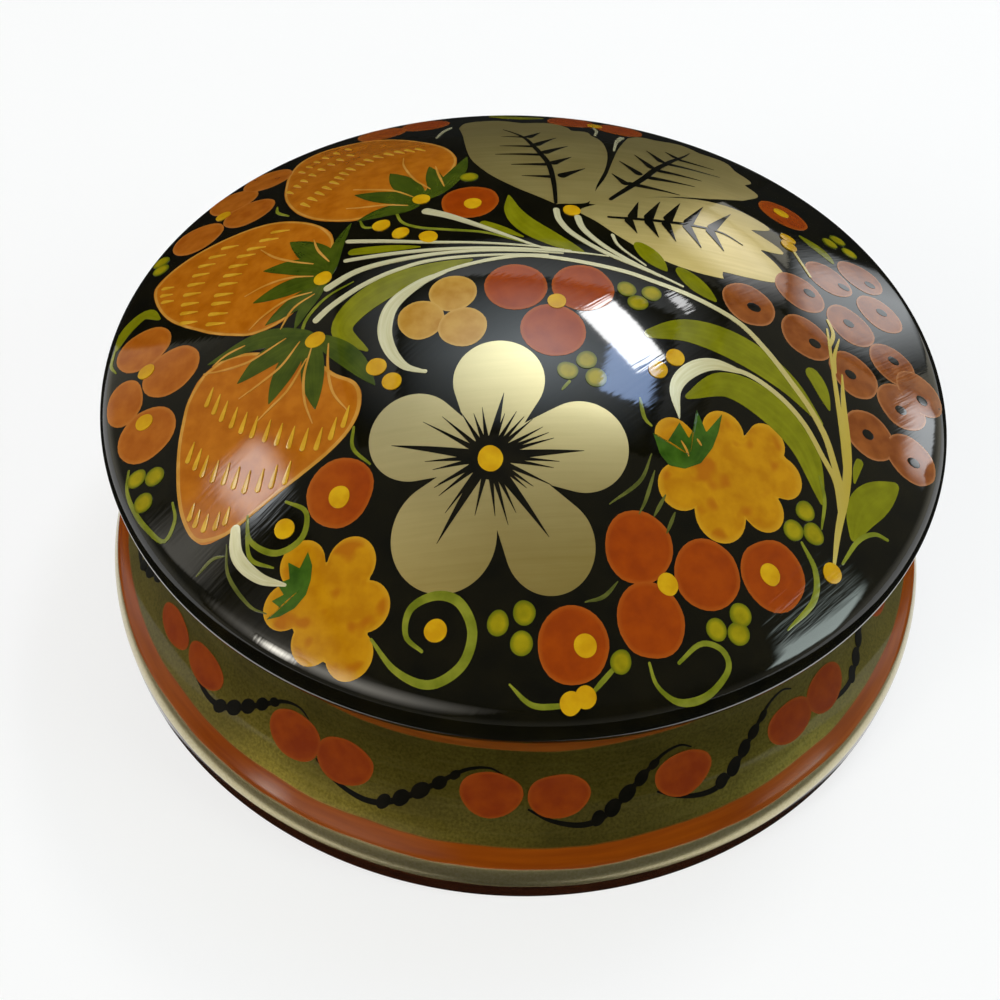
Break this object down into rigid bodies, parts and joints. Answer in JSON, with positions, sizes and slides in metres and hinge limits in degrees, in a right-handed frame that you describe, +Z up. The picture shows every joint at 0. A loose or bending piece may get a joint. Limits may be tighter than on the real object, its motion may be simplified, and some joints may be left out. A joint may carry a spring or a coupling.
{
  "type": "trinket box",
  "caption": "Round turned-wood trinket box: a coved body on a flared foot, and a domed lid that drops over the body's lip and lifts off. Lacquered, with folk painting.",
  "frame": {"origin": "centre of the ring that the box stands on", "axes": "+Z up along the turning axis, -Y towards the viewer of the picture, +X to the viewer's right"},
  "size_m": [0.13, 0.13, 0.0579],
  "materials": {
    "gold_lacquer": "old-gold metallic paint under clear gloss lacquer, with an orange and black painted border",
    "black_lacquer": "black ground under clear gloss lacquer, with painted berries, flower and leaves"
  },
  "bodies": {
    "box": {"box_body": "gold_lacquer"},
    "lid": {"lid": "black_lacquer"}
  },
  "joints": [
    {"name": "lid_lift", "type": "slide", "parent": "box", "child": "lid", "axis": [0, 0, 1], "range_m": [0, 0.08]}
  ]
}
